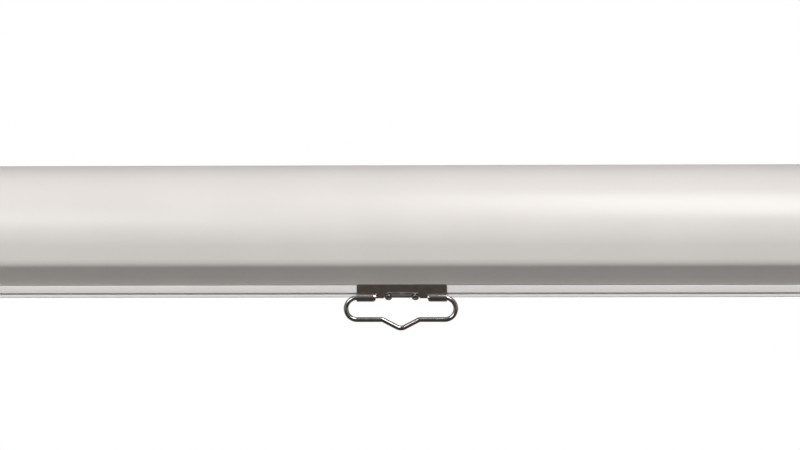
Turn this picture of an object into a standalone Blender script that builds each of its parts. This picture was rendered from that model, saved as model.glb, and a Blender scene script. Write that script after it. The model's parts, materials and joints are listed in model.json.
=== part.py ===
"""Pull-down projector screen with a spring roller, in metres.

+X runs along the case, the front faces -Y and +Z is up. The origin is the
middle of the flat back of the case, which lies on the wall at y = 0. Every
moving piece hangs from an empty that stands on its joint's axis.
"""
import math

import bmesh
import bpy
from mathutils import Matrix, Vector

for leftover in list(bpy.data.objects):
    bpy.data.objects.remove(leftover)

# Clearances
GAP = 0.0003             # between faces that touch, and round a running shaft
SIDE_PLAY = 0.0006       # along the roller, between what turns and what stands

# Picture and fabric
VIEW_WIDTH = 1.270
VIEW_HEIGHT = 1.270
SIDE_BORDER = 0.020
BOTTOM_BORDER = 0.020
TOP_BORDER = 0.080
RESERVE_WRAPS = 0.060    # length that never leaves the roller
FABRIC_THICK = 0.00038

# Roller
TUBE_RADIUS = 0.019
TUBE_WALL = 0.0009
TUBE_OVERHANG = 0.010    # tube past each side of the fabric
ROLLER_DEPTH = 0.034     # axis in front of the wall
ROLLER_RISE = 0.002      # axis above the middle of the case
PLUG_LENGTH = 0.014
FLANGE_THICK = 0.0025

# Spring side
SHAFT_RADIUS = 0.0035
TANG_WIDTH = 0.006
TANG_THICK = 0.003
TANG_LENGTH = 0.009
COLLAR_RADIUS = 0.009
COLLAR_LENGTH = 0.010
SPRING_RADIUS = 0.007    # of the coil's centre line
SPRING_WIRE = 0.0012     # wire radius
SPRING_LENGTH = 0.280
SPRING_TURNS = 18
ANCHOR_LENGTH = 0.018
SHAFT_SEAT = 0.010       # shaft end inside the anchor plug

# Ratchet and pawls
RATCHET_RADIUS = 0.0095
RATCHET_THICK = 0.003
NOTCH_FLOOR = 0.0065
PAWL_PIVOT_RADIUS = 0.014
PAWL_LENGTH = 0.012
PAWL_EYE = 0.0028
PAWL_HALF_WIDTH = 0.001
PAWL_THICK = 0.002
PAWL_LIFT = 0.0004       # free pawl above the ratchet
STUD_RADIUS = 0.0015

# Idle side
PIN_RADIUS = 0.004
BUSH_WALL = 0.0022
BUSH_LENGTH = 0.009

# Case
CASE_HEIGHT = 0.0815
CASE_WALL = 0.0012
CORNER_RADIUS = 0.008
FACET_RISE = 0.0112
FACET_SLOPE = 45.0       # degrees from level
BEND_RADIUS = 0.01275
PANEL_RISE = 0.008
PANEL_LEAN = 10.0        # degrees from upright
SLOT_WIDTH = 0.0088
LIP_RISE = 0.0055
PORT_INSET = 0.005       # screw port's centre from the top, bottom and back
PORT_RADIUS = 0.0034

# End caps, brackets and screws
CAP_THICK = 0.003
SPIGOT_DEPTH = 0.005
BOSS_LENGTH = 0.013
BOSS_RADIUS = 0.011
SCREW_RADIUS = 0.0013
SCREW_LENGTH = 0.0146
SCREW_HEAD_RADIUS = 0.0031
SCREW_HEAD_HEIGHT = 0.0022
BRACKET_THICK = 0.002
BRACKET_REACH = 0.056    # ceiling flange, forward from the wall
FLANGE_WIDTH = 0.022
CORNER_RELIEF = 0.011    # bare corner round the screw head
BRACKET_FOOT = 0.014
SLOT_HALF_WIDTH = 0.003
SLOT_STRAIGHT = 0.008

# Slat
SLAT_OVERHANG = 0.010    # slat past each side of the fabric
SLAT_HEIGHT = 0.0082
SLAT_DEPTH = 0.014
SLAT_ROUND = 0.0008
GROOVE_DROP = 0.0050     # groove's top edge below the slat's top
GROOVE_HEIGHT = 0.0013
GROOVE_DEPTH = 0.004
NECK_WIDTH = 0.007
NECK_RISE = 0.0075
CHANNEL_RADIUS = 0.0024
CHANNEL_ROOF = 0.0012
SLIT_WIDTH = 0.0016
HEM_ROD_RADIUS = 0.0017
SLAT_CAP_THICK = 0.004
PEG_RADIUS = 0.002
PEG_LENGTH = 0.008

# Handle
HANDLE_WIDTH = 0.0606
HANDLE_SHEET = 0.0008
HANDLE_RISE = 0.0006     # plate above the slat's top
HANDLE_CORNER = 0.001
WIRE_RADIUS = 0.00165
LUG_LENGTH = 0.0129
LUG_DROP = 0.0083        # bail's axis below the slat's top
LUG_CURL = 298.0         # degrees
PAD_DROP = 0.0050        # pad's ledge below the slat's top
PAD_PROUD = 0.0008
PAD_TILT = 42.0          # degrees from upright
PAD_HALF_WIDTH = 0.0111
PAD_JOINT = 0.0006       # plate that overlaps the pad
RIVET_SPACING = 0.0181
RIVET_ALONG = 0.0037     # rivet's centre down the pad from its ledge
EAR_RADIUS = 0.0027
EAR_STEP = 0.0001        # each face of an ear lies this far inside the pad's
RIVET_HEAD_RADIUS = 0.0025
RIVET_HEAD_HEIGHT = 0.0008
RIVET_RADIUS = 0.0011
RIVET_BORE = 0.0007
RIVET_LENGTH = 0.0045
BAIL_WIDTH = 0.0737      # between the end loops' centre lines
BAIL_SHIFT = -0.0006     # along its play in the lugs
BAIL_HEIGHT = 0.0147
BAIL_V_HALF_WIDTH = 0.0123
BAIL_V_DEPTH = 0.0064
BAIL_BEND = 0.004
BAIL_V_BEND = 0.0055
BAIL_END = 0.001         # wire's end in from the lug's mouth

SEGMENTS = 32
SMALL_SEGMENTS = 20

# Places along X, each measured outwards from the middle
fabric_half = VIEW_WIDTH / 2 + SIDE_BORDER
tube_half = fabric_half + TUBE_OVERHANG
flange_in = tube_half + GAP
flange_out = flange_in + FLANGE_THICK
ratchet_in = flange_out + SIDE_PLAY
ratchet_out = ratchet_in + RATCHET_THICK
boss_face = ratchet_out + SIDE_PLAY
case_half = boss_face + BOSS_LENGTH
cap_out = case_half + GAP + CAP_THICK
bracket_in = cap_out + GAP
bracket_out = bracket_in + BRACKET_THICK
plug_end = tube_half - PLUG_LENGTH
collar_out = plug_end - SIDE_PLAY
collar_in = collar_out - COLLAR_LENGTH
spring_out = collar_in - GAP
spring_in = spring_out - SPRING_LENGTH
anchor_out = spring_in - GAP
anchor_in = anchor_out - ANCHOR_LENGTH
slat_half = fabric_half + SLAT_OVERHANG

# Places in the section, as (y, z)
roller = (-ROLLER_DEPTH, ROLLER_RISE)
roll_inner = TUBE_RADIUS + GAP
top = CASE_HEIGHT / 2
bottom = -CASE_HEIGHT / 2
slat_top = bottom - GAP
slat_bottom = slat_top - SLAT_HEIGHT
neck_top = bottom + NECK_RISE
channel_z = neck_top - CHANNEL_ROOF - CHANNEL_RADIUS
drop_end = channel_z + HEM_ROD_RADIUS + GAP
fabric_length = TOP_BORDER + VIEW_HEIGHT + BOTTOM_BORDER + RESERVE_WRAPS
wound_length = fabric_length - (ROLLER_RISE - drop_end)
roll_outer = math.sqrt(roll_inner**2 + wound_length * FABRIC_THICK / math.pi)
fabric_y = roller[0] - roll_outer - GAP - FABRIC_THICK / 2
slot_front = fabric_y - SLOT_WIDTH / 2
slot_back = fabric_y + SLOT_WIDTH / 2
lip_front = slot_front - CASE_WALL
slat_front = fabric_y - SLAT_DEPTH / 2
port_z = top - PORT_INSET


def material(name, colour, roughness, metallic=0.0):
    """A plain finish."""
    made = bpy.data.materials.new(name)
    made.use_nodes = True
    shader = made.node_tree.nodes["Principled BSDF"]
    shader.inputs["Base Color"].default_value = (*colour, 1.0)
    shader.inputs["Roughness"].default_value = roughness
    shader.inputs["Metallic"].default_value = metallic
    return made


case_paint = material("case_paint", (0.60, 0.58, 0.55), 0.35)
cap_plastic = material("cap_plastic", (0.56, 0.54, 0.51), 0.45)
bracket_steel = material("bracket_steel", (0.58, 0.56, 0.53), 0.4)
zinc_steel = material("zinc_steel", (0.55, 0.55, 0.54), 0.35, 1.0)
tube_steel = material("tube_steel", (0.50, 0.50, 0.50), 0.4, 1.0)
spring_steel = material("spring_steel", (0.20, 0.19, 0.18), 0.45, 1.0)
plug_plastic = material("plug_plastic", (0.06, 0.06, 0.065), 0.5)
bush_plastic = material("bush_plastic", (0.75, 0.74, 0.70), 0.45)
screen_fabric = material("screen_fabric", (0.82, 0.82, 0.81), 0.85)
slat_paint = material("slat_paint", (0.66, 0.65, 0.63), 0.35)
nickel = material("nickel", (0.62, 0.60, 0.57), 0.15, 1.0)


def pivot(name, y, z):
    """An empty on a joint's axis, which the joint's pieces hang from."""
    made = bpy.data.objects.new(name, None)
    made.location = (0.0, y, z)
    bpy.context.scene.collection.objects.link(made)
    return made


def piece(name, shape, finish, carrier=None, smooth=False):
    """Turn a bmesh, built in the part's frame, into a named object."""
    at = carrier.location.copy() if carrier else Vector((0.0, 0.0, 0.0))
    bmesh.ops.translate(shape, verts=shape.verts, vec=-at)
    bmesh.ops.recalc_face_normals(shape, faces=shape.faces)
    mesh = bpy.data.meshes.new(name)
    shape.to_mesh(mesh)
    shape.free()
    mesh.materials.append(finish)
    if smooth:
        mesh.shade_smooth()
        mesh.set_sharp_from_angle(angle=math.radians(30))
    made = bpy.data.objects.new(name, mesh)
    bpy.context.scene.collection.objects.link(made)
    if carrier:
        made.parent = carrier
    return made


def boolean(target, tool, operation):
    """Cut or join with a tool shape, which stays as a hidden guide."""
    tool.hide_render = True
    tool.display_type = "WIRE"
    step = target.modifiers.new(tool.name, "BOOLEAN")
    step.operation = operation
    step.solver = "EXACT"
    step.object = tool


def arc(centre, radius, start, end, steps):
    """Points of an arc in the section; 0 degrees is +Y and 90 is +Z."""
    angles = [math.radians(start + (end - start) * i / steps) for i in range(steps + 1)]
    return [(centre[0] + radius * math.cos(a), centre[1] + radius * math.sin(a)) for a in angles]


def circle(centre, radius, segments=SMALL_SEGMENTS):
    """A closed round outline in the section."""
    return arc(centre, radius, 0, 360, segments)[:-1]


def polar(centre, radius, angle):
    """One point of a circle in the section."""
    return arc(centre, radius, angle, angle, 1)[0]


def prism(outline, x0, x1, holes=()):
    """A section of (y, z) points with round holes, drawn out from x0 to x1."""
    shape = bmesh.new()
    rims = []
    for loop in (outline, *holes):
        corners = [shape.verts.new((x0, y, z)) for y, z in loop]
        for here, there in zip(corners, corners[1:] + corners[:1]):
            rims.append(shape.edges.new((here, there)))
    bmesh.ops.triangle_fill(shape, edges=rims, use_beauty=True)
    grown = bmesh.ops.extrude_face_region(shape, geom=shape.faces[:])["geom"]
    moved = [v for v in grown if isinstance(v, bmesh.types.BMVert)]
    bmesh.ops.translate(shape, verts=moved, vec=(x1 - x0, 0.0, 0.0))
    return shape


def turned(profile, frame, segments=SEGMENTS):
    """A closed profile of (along, radius) points turned about frame's X axis."""
    shape = bmesh.new()
    corners = [shape.verts.new((a, 0.0, r)) for a, r in profile]
    rim = [shape.edges.new(pair) for pair in zip(corners, corners[1:] + corners[:1])]
    bmesh.ops.spin(shape, geom=corners + rim, cent=(0, 0, 0), axis=(1, 0, 0),
                   angle=math.tau, steps=segments, use_merge=True)
    bmesh.ops.remove_doubles(shape, verts=shape.verts, dist=1e-6)
    bmesh.ops.dissolve_degenerate(shape, edges=shape.edges, dist=1e-6)
    bmesh.ops.transform(shape, matrix=frame, verts=shape.verts)
    return shape


def ring(x0, x1, inner, outer, segments=SEGMENTS):
    """A tube about the roller's axis."""
    profile = [(x0, inner), (x0, outer), (x1, outer), (x1, inner)]
    return turned(profile, Matrix.Translation((0, *roller)), segments)


def rod(x0, x1, centre, radius, segments=SMALL_SEGMENTS):
    """A plain round bar along X."""
    return prism(circle(centre, radius, segments), x0, x1)


def front_line(inset):
    """The section of the case from its front lip to its flat top, set in by inset."""
    slope, lean = math.radians(FACET_SLOPE), math.radians(PANEL_LEAN)
    facet_normal, panel_normal = 270.0 - FACET_SLOPE, 180.0 + PANEL_LEAN
    facet_end = (lip_front - FACET_RISE / math.tan(slope), bottom + FACET_RISE)
    bend_centre = polar(facet_end, BEND_RADIUS, facet_normal - 180.0)
    bend_end = polar(bend_centre, BEND_RADIUS, panel_normal)
    panel_end = (bend_end[0] - PANEL_RISE * math.tan(lean), bend_end[1] + PANEL_RISE)
    radius = (top - panel_end[1]) / (1.0 + math.sin(lean))
    centre = polar(panel_end, radius, PANEL_LEAN)
    return (arc(bend_centre, BEND_RADIUS - inset, facet_normal, panel_normal, 4)
            + arc(centre, radius - inset, panel_normal, 90.0, 14))


def facet_height(y, inset):
    """Height at which the facet, set in by inset, stands at depth y."""
    slope = math.radians(FACET_SLOPE)
    return (bottom + (inset * math.sin(slope) - (y - lip_front)) * math.tan(slope)
            + inset * math.cos(slope))


def outer_line():
    """The outside of the case, from the front lip over the top to the slot's back edge."""
    reach = CORNER_RADIUS
    return ([(lip_front, bottom)] + front_line(0.0)
            + arc((-reach, top - reach), reach, 90, 0, 5)
            + arc((-reach, bottom + reach), reach, 0, -90, 5)
            + [(slot_back, bottom)])


def inner_line(inset, port):
    """The inside of the case, round its screw ports, to the bottom plate."""
    side = -PORT_INSET - port
    return (front_line(inset)
            + [(side, top - inset)]
            + arc((-PORT_INSET, port_z), port, 180, 270, 4)
            + [(-inset, port_z - port), (-inset, port - port_z)]
            + arc((-PORT_INSET, -port_z), port, 90, 180, 4)
            + [(side, bottom + inset)])


def port_holes(radius):
    """The screw holes near the back corners of the section."""
    return [circle((-PORT_INSET, z), radius, 12) for z in (port_z, -port_z)]


def make_case():
    """Extruded case, open along its slot."""
    lip_top = bottom + LIP_RISE
    back_lip = slot_back + CASE_WALL
    section = (outer_line()
               + [(slot_back, lip_top), (back_lip, lip_top), (back_lip, bottom + CASE_WALL)]
               + inner_line(CASE_WALL, PORT_RADIUS)[::-1]
               + [(lip_front, facet_height(lip_front, CASE_WALL)), (lip_front, lip_top),
                  (slot_front, lip_top), (slot_front, bottom)])
    shape = prism(section, -case_half, case_half, port_holes(SCREW_RADIUS + GAP))
    piece("case_housing", shape, case_paint)


def make_end_cap(side, name, socket):
    """Moulded cap: a plate over the case's end, a spigot in it and a boss for the roller."""
    plate_in = case_half + GAP
    inset = CASE_WALL + GAP
    back_lip = slot_back + CASE_WALL + GAP
    lip_top = bottom + LIP_RISE + GAP
    spigot = (inner_line(inset, PORT_RADIUS + GAP)
              + [(back_lip, bottom + inset), (back_lip, lip_top),
                 (lip_front - GAP, lip_top),
                 (lip_front - GAP, facet_height(lip_front - GAP, inset))])
    root = plate_in + CAP_THICK / 2
    plate = prism(outer_line(), side * plate_in, side * cap_out, port_holes(SCREW_RADIUS + GAP))
    cap = piece(name, plate, cap_plastic)
    for tag, shape in (
        ("spigot", prism(spigot, side * (case_half - SPIGOT_DEPTH), side * root)),
        ("boss", rod(side * boss_face, side * root, roller, BOSS_RADIUS, SEGMENTS)),
    ):
        boolean(cap, piece(f"{name}_{tag}", shape, cap_plastic), "UNION")
    boolean(cap, piece(f"{name}_socket", socket, cap_plastic), "DIFFERENCE")


def box_outline(width, height):
    """A rectangle about the roller's axis in the section."""
    y, z = roller
    return [(y - width / 2, z - height / 2), (y + width / 2, z - height / 2),
            (y + width / 2, z + height / 2), (y - width / 2, z + height / 2)]


def make_bracket(side, name):
    """Folded steel bracket with a flange for a wall and one for a ceiling."""
    half = BRACKET_THICK / 2
    middle = side * (bracket_in + half)
    tip = side * (bracket_out + FLANGE_WIDTH)
    crown, back = top - half, -half
    corners = [(-BRACKET_REACH, crown), (-CORNER_RELIEF, crown), (back, crown),
               (back, top - CORNER_RELIEF), (back, bottom + CORNER_RELIEF), (back, bottom + half),
               (-BRACKET_FOOT, bottom + half), (-BRACKET_REACH, top - BRACKET_REACH / 2)]
    shape = bmesh.new()
    plate = [shape.verts.new((middle, y, z)) for y, z in corners]
    shape.faces.new(plate)
    for first, second in ((0, 1), (3, 4)):
        fold = shape.edges.get((plate[first], plate[second]))
        grown = bmesh.ops.extrude_edge_only(shape, edges=[fold])["geom"]
        moved = [v for v in grown if isinstance(v, bmesh.types.BMVert)]
        bmesh.ops.translate(shape, verts=moved, vec=(tip - middle, 0.0, 0.0))
    bracket = piece(name, shape, bracket_steel)
    wall = bracket.modifiers.new("sheet", "SOLIDIFY")
    wall.thickness = BRACKET_THICK
    wall.offset = 0.0
    wall.solidify_mode = "NON_MANIFOLD"
    wall.nonmanifold_thickness_mode = "CONSTRAINTS"
    for z in (port_z, -port_z):
        hole = rod(side * (bracket_in - CAP_THICK), side * (bracket_out + CAP_THICK),
                   (-PORT_INSET, z), SCREW_RADIUS + GAP, 12)
        boolean(bracket, piece(f"{name}_hole_{'lower' if z < 0 else 'upper'}", hole, zinc_steel),
                "DIFFERENCE")
    hole_x = side * (bracket_out + FLANGE_WIDTH / 2)
    slot = (arc((0, SLOT_STRAIGHT / 2), SLOT_HALF_WIDTH, 0, 180, 8)
            + arc((0, -SLOT_STRAIGHT / 2), SLOT_HALF_WIDTH, 180, 360, 8))
    turn_to_wall = Matrix.Translation((hole_x, 0, 0)) @ Matrix.Rotation(math.pi / 2, 4, "Z")
    turn_to_ceiling = (Matrix.Translation((hole_x, -BRACKET_REACH / 2, top))
                       @ Matrix.Rotation(math.pi / 2, 4, "X") @ Matrix.Rotation(math.pi / 2, 4, "Z"))
    for tag, turn in (("wall_slot", turn_to_wall), ("ceiling_slot", turn_to_ceiling)):
        shape = prism(slot, -2 * BRACKET_THICK, 2 * BRACKET_THICK)
        bmesh.ops.transform(shape, matrix=turn, verts=shape.verts)
        boolean(bracket, piece(f"{name}_{tag}", shape, zinc_steel), "DIFFERENCE")


def make_screw(side, z, name):
    """Pan-head screw through bracket and cap into the case's screw port."""
    under = bracket_out + GAP
    crown = under + SCREW_HEAD_HEIGHT
    profile = [(side * (under - SCREW_LENGTH), 0.0), (side * (under - SCREW_LENGTH), SCREW_RADIUS),
               (side * under, SCREW_RADIUS), (side * under, SCREW_HEAD_RADIUS),
               (side * (under + SCREW_HEAD_HEIGHT / 2), SCREW_HEAD_RADIUS),
               (side * crown, SCREW_HEAD_RADIUS / 2), (side * crown, 0.0)]
    frame = Matrix.Translation((0, -PORT_INSET, z))
    piece(name, turned(profile, frame, 12), zinc_steel, smooth=True)


def ratchet_angles():
    """Free and locked angles of a pawl, from the line to the roller's axis, in degrees."""
    free = math.asin((RATCHET_RADIUS + PAWL_LIFT + PAWL_HALF_WIDTH) / PAWL_PIVOT_RADIUS)
    locked = math.asin((NOTCH_FLOOR + GAP + PAWL_HALF_WIDTH) / PAWL_PIVOT_RADIUS)
    return math.degrees(free), math.degrees(locked)


def ratchet_outline():
    """A disc with two ramps, each ending in a radial step that a locked pawl meets."""
    locked = math.radians(ratchet_angles()[1])
    foot = 90.0 - math.degrees(locked)
    along = PAWL_LENGTH - PAWL_HALF_WIDTH
    tip_y = along * math.sin(locked)
    tip_z = PAWL_PIVOT_RADIUS - along * math.cos(locked)
    tip_radius = math.hypot(tip_y, tip_z)
    tip_angle = math.degrees(math.atan2(tip_y, tip_z))
    step = tip_angle + math.degrees(math.asin((PAWL_HALF_WIDTH + GAP) / tip_radius))
    ramp = foot - math.degrees(math.acos(NOTCH_FLOOR / RATCHET_RADIUS))
    step_radius = NOTCH_FLOOR / math.cos(math.radians(step - foot))
    points = []
    for head in (90.0, -90.0):
        points.append(polar(roller, step_radius, head - step))
        points += arc(roller, RATCHET_RADIUS, head - step, head - 180.0 - ramp, 10)
    return points


def make_pawl(head, name, carrier):
    """Flat pawl on a stud of the roller's head plug, drawn in its free position."""
    free = ratchet_angles()[0]
    centre = polar(roller, PAWL_PIVOT_RADIUS, head)
    along = head + 180.0 + free
    tip = polar(centre, PAWL_LENGTH - PAWL_HALF_WIDTH, along)
    neck = math.degrees(math.asin(PAWL_HALF_WIDTH / PAWL_EYE))
    outline = (arc(centre, PAWL_EYE, along + neck, along + 360.0 - neck, 16)
               + arc(tip, PAWL_HALF_WIDTH, along - 90.0, along + 90.0, 6))
    middle = (ratchet_in + ratchet_out) / 2
    shape = prism(outline, -middle - PAWL_THICK / 2, -middle + PAWL_THICK / 2,
                  [circle(centre, STUD_RADIUS + GAP, 12)])
    piece(name, shape, zinc_steel, carrier)


def make_spring_side(roller_pivot):
    """Fixed shaft with its ratchet, collar and torsion spring, and the plugs that turn on it."""
    axis = Matrix.Translation((0, *roller))
    shaft_in = anchor_out - SHAFT_SEAT
    shaft = piece("spring_shaft", rod(-boss_face, -shaft_in, roller, SHAFT_RADIUS), zinc_steel)
    tang = prism(box_outline(TANG_WIDTH, TANG_THICK), -boss_face - TANG_LENGTH, -ratchet_out)
    boolean(shaft, piece("shaft_tang", tang, zinc_steel), "UNION")
    bore = SHAFT_RADIUS + GAP
    hub = prism(ratchet_outline(), -ratchet_out, -ratchet_in, [circle(roller, bore)])
    piece("ratchet_hub", hub, zinc_steel)
    collar = ring(-collar_out, -collar_in, bore, COLLAR_RADIUS, SMALL_SEGMENTS)
    piece("spring_collar", collar, plug_plastic, smooth=True)

    plug_radius = TUBE_RADIUS - TUBE_WALL - GAP
    profile = [(-flange_out, bore), (-flange_out, TUBE_RADIUS), (-flange_in, TUBE_RADIUS),
               (-flange_in, plug_radius), (-plug_end, plug_radius), (-plug_end, bore)]
    head = piece("roller_head_plug", turned(profile, axis), plug_plastic, roller_pivot, True)
    for tag, angle in (("upper", 90.0), ("lower", -90.0)):
        centre = polar(roller, PAWL_PIVOT_RADIUS, angle)
        stud = rod(-ratchet_out, -flange_in, centre, STUD_RADIUS, 12)
        boolean(head, piece(f"{tag}_stud", stud, plug_plastic, roller_pivot), "UNION")
    anchor = ring(-anchor_out, -anchor_in, bore, plug_radius)
    piece("spring_anchor_plug", anchor, plug_plastic, roller_pivot, True)

    coil = bpy.data.curves.new("torsion_spring", "CURVE")
    coil.dimensions = "3D"
    coil.bevel_depth = SPRING_WIRE
    coil.bevel_resolution = 1
    coil.use_fill_caps = True
    steps = SPRING_TURNS * 12
    line = coil.splines.new("POLY")
    line.points.add(steps)
    for i, point in enumerate(line.points):
        y, z = polar(roller, SPRING_RADIUS, 30.0 * i)
        travel = (SPRING_LENGTH - 2 * SPRING_WIRE) * i / steps
        point.co = (-spring_out + SPRING_WIRE + travel, y, z, 1.0)
    coil.materials.append(spring_steel)
    bpy.context.scene.collection.objects.link(bpy.data.objects.new("torsion_spring", coil))


def make_idle_side(roller_pivot):
    """Plug and pin at the other end of the roller, and the bush that the pin turns in."""
    axis = Matrix.Translation((0, *roller))
    plug_radius = TUBE_RADIUS - TUBE_WALL - GAP
    bore = PIN_RADIUS + GAP
    profile = [(flange_out, bore), (flange_out, TUBE_RADIUS), (flange_in, TUBE_RADIUS),
               (flange_in, plug_radius), (plug_end, plug_radius), (plug_end, bore)]
    piece("idle_plug", turned(profile, axis), plug_plastic, roller_pivot, True)
    pin = rod(plug_end, boss_face + BUSH_LENGTH, roller, PIN_RADIUS)
    piece("idle_pin", pin, zinc_steel, roller_pivot, True)
    bush = ring(boss_face, boss_face + BUSH_LENGTH, bore, bore + BUSH_WALL, SMALL_SEGMENTS)
    piece("idle_bush", bush, bush_plastic, smooth=True)


def make_roller(roller_pivot):
    """Steel tube and the screen wound on it."""
    tube = ring(-tube_half, tube_half, TUBE_RADIUS - TUBE_WALL, TUBE_RADIUS)
    piece("roller_tube", tube, tube_steel, roller_pivot, True)
    roll = ring(-fabric_half, fabric_half, roll_inner, roll_outer)
    piece("screen_roll", roll, screen_fabric, roller_pivot, True)


def slat_body():
    """The slat's outside below its neck, from the neck's back round to its front."""
    back, front = fabric_y + SLAT_DEPTH / 2, slat_front
    reach = SLAT_ROUND
    groove_top = slat_top - GROOVE_DROP
    groove_bottom = groove_top - GROOVE_HEIGHT
    return (arc((back - reach, slat_top - reach), reach, 90, 0, 3)
            + arc((back - reach, slat_bottom + reach), reach, 0, -90, 3)
            + arc((front + reach, slat_bottom + reach), reach, 270, 180, 3)
            + [(front, groove_bottom), (front + GROOVE_DEPTH, groove_bottom),
               (front + GROOVE_DEPTH, groove_top), (front, groove_top)]
            + arc((front + reach, slat_top - reach), reach, 180, 90, 3))


def pad_frame():
    """The pad's ledge corner, its direction down the face and its outward normal, in the section."""
    tilt = math.radians(PAD_TILT)
    sheet_front = slat_front - GAP - HANDLE_SHEET
    ledge = Vector((sheet_front - PAD_PROUD, slat_top - PAD_DROP))
    return ledge, Vector((math.sin(tilt), -math.cos(tilt))), Vector((-math.cos(tilt), -math.sin(tilt)))


def rivet_frame(x):
    """Placement of a rivet: its X axis leaves the pad's face at the rivet's centre."""
    ledge, down, out = pad_frame()
    y, z = ledge + down * RIVET_ALONG
    turn = Vector((1, 0, 0)).rotation_difference(Vector((0, *out))).to_matrix().to_4x4()
    return Matrix.Translation((x, y, z)) @ turn


def make_slat(slat_pivot):
    """Bottom bar with the channel that grips the hem, its rod, its end caps and the hanging screen."""
    half = NECK_WIDTH / 2
    slit = SLIT_WIDTH / 2
    centre = (fabric_y, channel_z)
    opening = math.degrees(math.asin(slit / CHANNEL_RADIUS))
    neck = [(fabric_y - half, slat_top), (fabric_y - half, neck_top)]
    channel = ([(fabric_y - slit, neck_top)]
               + arc(centre, CHANNEL_RADIUS, 90 + opening, 450 - opening, 14)
               + [(fabric_y + slit, neck_top)])
    neck_back = [(fabric_y + half, neck_top), (fabric_y + half, slat_top)]
    section = slat_body() + neck + channel + neck_back
    slat = piece("slat", prism(section, -slat_half, slat_half), slat_paint, slat_pivot)

    ledge, down, out = pad_frame()
    seat = ledge - out * (HANDLE_SHEET + GAP)
    reach = SLAT_HEIGHT + SLAT_DEPTH
    wedge = [seat - down * reach, seat + down * reach, seat + down * reach + out * reach,
             seat - down * reach + out * reach]
    width = RIVET_SPACING / 2 + EAR_RADIUS + 2 * GAP
    cutter = prism([tuple(p) for p in wedge], -width, width)
    boolean(slat, piece("slat_notch", cutter, slat_paint, slat_pivot), "DIFFERENCE")
    for tag, x in (("left", -RIVET_SPACING / 2), ("right", RIVET_SPACING / 2)):
        hole = prism(circle((0, 0), RIVET_RADIUS + GAP, 12), -RIVET_LENGTH - GAP, RIVET_LENGTH)
        bmesh.ops.transform(hole, matrix=rivet_frame(x), verts=hole.verts)
        boolean(slat, piece(f"slat_hole_{tag}", hole, slat_paint, slat_pivot), "DIFFERENCE")

    for tag, side in (("left", -1), ("right", 1)):
        inner = slat_half + GAP
        plate = prism(slat_body() + neck + neck_back, side * inner, side * (inner + SLAT_CAP_THICK))
        cap = piece(f"slat_cap_{tag}", plate, cap_plastic, slat_pivot)
        peg = rod(side * (slat_half - PEG_LENGTH), side * (inner + SLAT_CAP_THICK / 2), centre,
                  PEG_RADIUS, 12)
        boolean(cap, piece(f"slat_peg_{tag}", peg, cap_plastic, slat_pivot), "UNION")
    rod_half = slat_half - PEG_LENGTH - GAP
    piece("hem_rod", rod(-rod_half, rod_half, centre, HEM_ROD_RADIUS, 12), bush_plastic, slat_pivot)

    thick = FABRIC_THICK / 2
    sheet = [(fabric_y - thick, drop_end), (fabric_y + thick, drop_end),
             (fabric_y + thick, ROLLER_RISE), (fabric_y - thick, ROLLER_RISE)]
    piece("screen_drop", prism(sheet, -fabric_half, fabric_half), screen_fabric, slat_pivot)


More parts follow.
